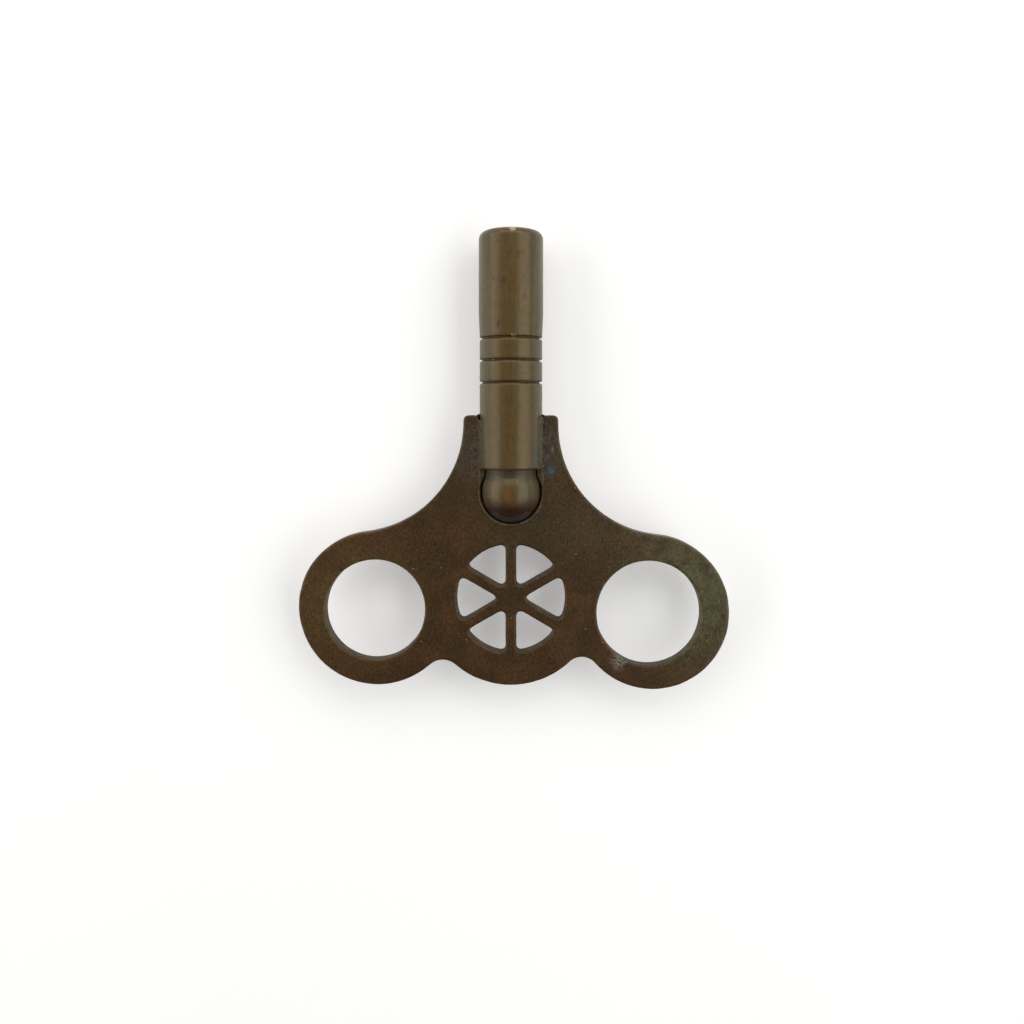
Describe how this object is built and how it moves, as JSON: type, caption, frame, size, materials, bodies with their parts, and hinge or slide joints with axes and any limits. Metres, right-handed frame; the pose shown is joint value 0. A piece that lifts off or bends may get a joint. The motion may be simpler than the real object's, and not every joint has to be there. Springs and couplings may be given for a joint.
{
  "type": "winding key",
  "caption": "Flat two-lobed winding key with finger holes and a pierced centre, its turned barrel ending in a square socket for a clock or spring-motor arbor.",
  "frame": {"origin": "centre of the square socket's mouth, on the barrel's axis", "axes": "+Y out of the socket's mouth along the barrel, +X to the larger lobe along the bow, +Z square to the bow's plate, up when the key lies flat"},
  "size_m": [0.053, 0.0564, 0.008],
  "materials": {
    "barrel_brass": "aged, semi-gloss brown patina",
    "bow_brass": "aged, dark brown patina with a filed grain",
    "solder": "dull grey-green hard solder, lumpy"
  },
  "bodies": {
    "root": {"barrel": "barrel_brass", "bow": "bow_brass", "solder_left": "solder", "solder_right": "solder"}
  },
  "joints": []
}
